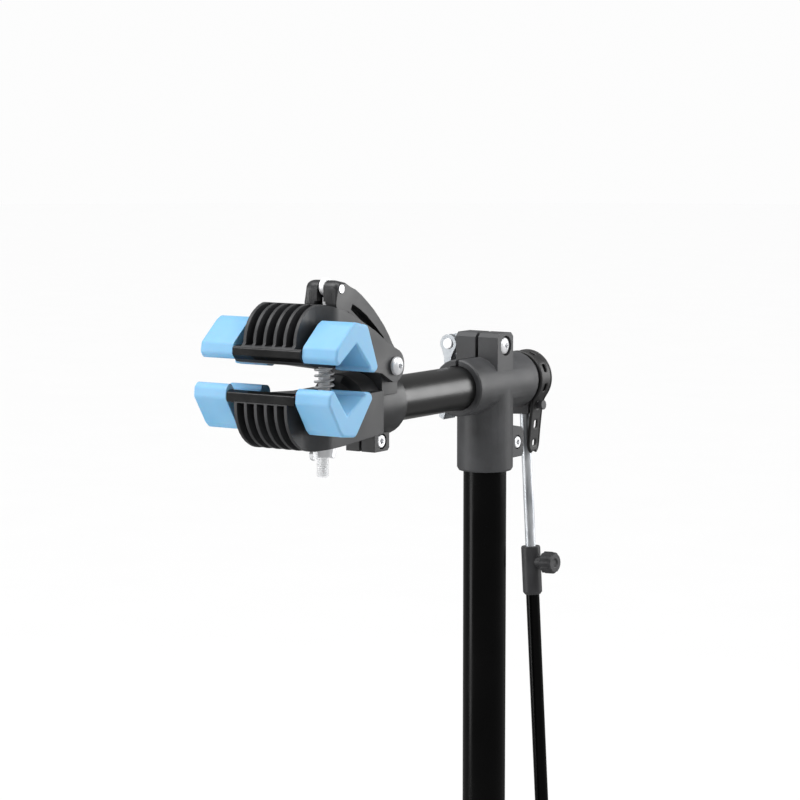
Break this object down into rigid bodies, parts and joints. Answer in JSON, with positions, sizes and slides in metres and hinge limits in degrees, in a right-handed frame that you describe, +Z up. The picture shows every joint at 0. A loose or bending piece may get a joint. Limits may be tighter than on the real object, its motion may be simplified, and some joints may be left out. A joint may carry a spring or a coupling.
{
  "type": "bike repair stand",
  "caption": "Folding bike repair stand: telescoping round mast on hinged strutted legs, a rotating arm whose hinged jaws with soft blue V pads clamp a tube, and a strap-on handlebar holder.",
  "frame": {"origin": "on the floor under the mast's axis, at the middle of the four feet", "axes": "+Z up along the mast; the arm points along -Y to the clamp head, and the clamped tube lies along X"},
  "size_m": [0.787, 0.787, 1.4395],
  "materials": {
    "gloss_black": "gloss black powder coat on steel tube",
    "dark_plastic": "fine-textured dark grey moulded plastic",
    "black_plastic": "satin black moulded plastic",
    "blue_rubber": "soft light blue rubber, matt",
    "black_rubber": "matt black rubber",
    "zinc": "bright zinc plate",
    "grey_metal": "satin grey cast metal"
  },
  "bodies": {
    "base": {"base_hub": "black_plastic", "lower_mast": "gloss_black", "mast_collar": "black_plastic", "mast_bolt": "zinc", "mast_cam_pin": "zinc"},
    "mast_lever": {"mast_lever": "grey_metal"},
    "slider": {"mast_bushing": "black_plastic"},
    "upper": {"upper_mast": "gloss_black", "tee_body": "dark_plastic", "tee_bolt": "zinc", "tee_cam_pin": "zinc", "pinch_screw": "zinc", "pinch_nut": "zinc"},
    "tee_lever": {"tee_lever": "grey_metal"},
    "arm": {"arm_tube": "gloss_black", "arm_plug": "black_plastic", "lower_jaw": "dark_plastic", "pad_lower_left": "blue_rubber", "pad_lower_right": "blue_rubber", "socket_screw": "zinc", "socket_nut": "zinc", "jaw_hinge_bolt": "zinc", "jaw_hinge_nut": "zinc", "clamp_spring": "zinc"},
    "upper_jaw": {"upper_jaw": "dark_plastic", "pad_upper_left": "blue_rubber", "pad_upper_right": "blue_rubber"},
    "rod": {"clamp_rod": "zinc", "cam_pin": "zinc"},
    "rocker": {"rocker_washer": "black_plastic"},
    "wing_nut": {"wing_nut": "zinc"},
    "cam_lever": {"cam_lever": "dark_plastic"},
    "bar_top": {"bar_saddle": "black_plastic", "bar_strap": "black_rubber"},
    "bar_rod": {"bar_rod": "zinc"},
    "bar_low": {"bar_collar": "black_plastic", "bar_tube": "gloss_black", "bar_end_saddle": "black_plastic", "bar_end_strap": "black_rubber"},
    "bar_screw": {"bar_screw": "black_plastic"},
    "leg_collar": {"leg_collar": "black_plastic"},
    "leg_collar_knob": {"leg_collar_knob": "black_plastic"},
    "leg_1": {"leg_1": "gloss_black", "foot_1": "black_rubber"},
    "strut_1": {"strut_1": "gloss_black"},
    "leg_2": {"leg_2": "gloss_black", "foot_2": "black_rubber"},
    "strut_2": {"strut_2": "gloss_black"},
    "leg_3": {"leg_3": "gloss_black", "foot_3": "black_rubber"},
    "strut_3": {"strut_3": "gloss_black"},
    "leg_4": {"leg_4": "gloss_black", "foot_4": "black_rubber"},
    "strut_4": {"strut_4": "gloss_black"}
  },
  "joints": [
    {"name": "mast_height", "type": "slide", "parent": "base", "child": "slider", "axis": [0, 0, 1], "range_m": [-0.33, 0.2]},
    {"name": "mast_swivel", "type": "hinge", "parent": "slider", "child": "upper", "pos_m": [0, 0, 1.35], "axis": [0, 0, 1], "continuous": true},
    {"name": "mast_lever_turn", "type": "hinge", "parent": "base", "child": "mast_lever", "pos_m": [0.0235, -0.033, 0.778], "axis": [0, -1, 0], "range_deg": [0, 150]},
    {"name": "tee_lever_turn", "type": "hinge", "parent": "upper", "child": "tee_lever", "pos_m": [-0.0275, 0, 1.379], "axis": [0, 1, 0], "range_deg": [0, 150]},
    {"name": "arm_rotate", "type": "hinge", "parent": "upper", "child": "arm", "pos_m": [0, 0, 1.35], "axis": [0, 1, 0], "continuous": true},
    {"name": "jaw_open", "type": "hinge", "parent": "arm", "child": "upper_jaw", "pos_m": [0, -0.162, 1.378], "axis": [-1, 0, 0], "range_deg": [-6, 26], "deforming": ["clamp_spring"]},
    {"name": "rod_tilt", "type": "hinge", "parent": "upper_jaw", "child": "rod", "pos_m": [0, -0.2052, 1.4325], "axis": [-1, 0, 0], "range_deg": [-13, 3]},
    {"name": "rocker_slide", "type": "slide", "parent": "rod", "child": "rocker", "axis": [0, -0.0332, -0.9995], "range_m": [-0.0046, 0.0186]},
    {"name": "wing_nut_spin", "type": "hinge", "parent": "rocker", "child": "wing_nut", "pos_m": [0, -0.20876, 1.32526], "axis": [0, -0.0332, -0.9995], "continuous": true},
    {"name": "cam_lever_turn", "type": "hinge", "parent": "upper_jaw", "child": "cam_lever", "pos_m": [0, -0.2052, 1.4325], "axis": [1, 0, 0], "range_deg": [0, 150]},
    {"name": "bar_swing", "type": "hinge", "parent": "upper", "child": "bar_top", "pos_m": [0, 0.055, 1.35], "axis": [0, 1, 0], "range_deg": [-80, 80]},
    {"name": "bar_twist", "type": "hinge", "parent": "bar_top", "child": "bar_rod", "pos_m": [0.00125, 0.055, 1.32774], "axis": [0.0558, 0, -0.9984], "continuous": true},
    {"name": "bar_telescope", "type": "slide", "parent": "bar_rod", "child": "bar_low", "axis": [0.0558, 0, -0.9984], "range_m": [-0.065, 0.12]},
    {"name": "bar_screw_turn", "type": "hinge", "parent": "bar_low", "child": "bar_screw", "pos_m": [0.00785, 0.055, 1.20952], "axis": [0.9946, -0.0872, 0.0556], "continuous": true},
    {"name": "leg_fold", "type": "slide", "parent": "base", "child": "leg_collar", "axis": [0, 0, 1], "range_m": [0, 0.2245]},
    {"name": "collar_knob_turn", "type": "hinge", "parent": "leg_collar", "child": "leg_collar_knob", "pos_m": [0.0195, 0, 0.3109], "axis": [1, 0, 0], "continuous": true},
    {"name": "leg_1_hinge", "type": "hinge", "parent": "leg_collar", "child": "leg_1", "pos_m": [0.02687, 0.02687, 0.2809], "axis": [-0.7071, 0.7071, 0], "range_deg": [0, 51]},
    {"name": "strut_1_hinge", "type": "hinge", "parent": "leg_1", "child": "strut_1", "pos_m": [0.16422, 0.16422, 0.17762], "axis": [0.7071, -0.7071, 0], "range_deg": [0, 101]},
    {"name": "leg_2_hinge", "type": "hinge", "parent": "leg_collar", "child": "leg_2", "pos_m": [-0.02687, 0.02687, 0.2809], "axis": [-0.7071, -0.7071, 0], "range_deg": [0, 51]},
    {"name": "strut_2_hinge", "type": "hinge", "parent": "leg_2", "child": "strut_2", "pos_m": [-0.16422, 0.16422, 0.17762], "axis": [0.7071, 0.7071, 0], "range_deg": [0, 101]},
    {"name": "leg_3_hinge", "type": "hinge", "parent": "leg_collar", "child": "leg_3", "pos_m": [-0.02687, -0.02687, 0.2809], "axis": [0.7071, -0.7071, 0], "range_deg": [0, 51]},
    {"name": "strut_3_hinge", "type": "hinge", "parent": "leg_3", "child": "strut_3", "pos_m": [-0.16422, -0.16422, 0.17762], "axis": [-0.7071, 0.7071, 0], "range_deg": [0, 101]},
    {"name": "leg_4_hinge", "type": "hinge", "parent": "leg_collar", "child": "leg_4", "pos_m": [0.02687, -0.02687, 0.2809], "axis": [0.7071, 0.7071, 0], "range_deg": [0, 51]},
    {"name": "strut_4_hinge", "type": "hinge", "parent": "leg_4", "child": "strut_4", "pos_m": [0.16422, -0.16422, 0.17762], "axis": [-0.7071, -0.7071, 0], "range_deg": [0, 101]}
  ],
  "couplings": [
    {"joint": "rod_tilt", "follows": "jaw_open", "ratio": -0.487},
    {"joint": "rocker_slide", "follows": "jaw_open", "m_per_rad": 0.0404},
    {"joint": "leg_1_hinge", "follows": "leg_fold", "rad_per_m": 3.9207},
    {"joint": "strut_1_hinge", "follows": "leg_fold", "rad_per_m": 7.8414},
    {"joint": "leg_2_hinge", "follows": "leg_fold", "rad_per_m": 3.9207},
    {"joint": "strut_2_hinge", "follows": "leg_fold", "rad_per_m": 7.8414},
    {"joint": "leg_3_hinge", "follows": "leg_fold", "rad_per_m": 3.9207},
    {"joint": "strut_3_hinge", "follows": "leg_fold", "rad_per_m": 7.8414},
    {"joint": "leg_4_hinge", "follows": "leg_fold", "rad_per_m": 3.9207},
    {"joint": "strut_4_hinge", "follows": "leg_fold", "rad_per_m": 7.8414}
  ]
}
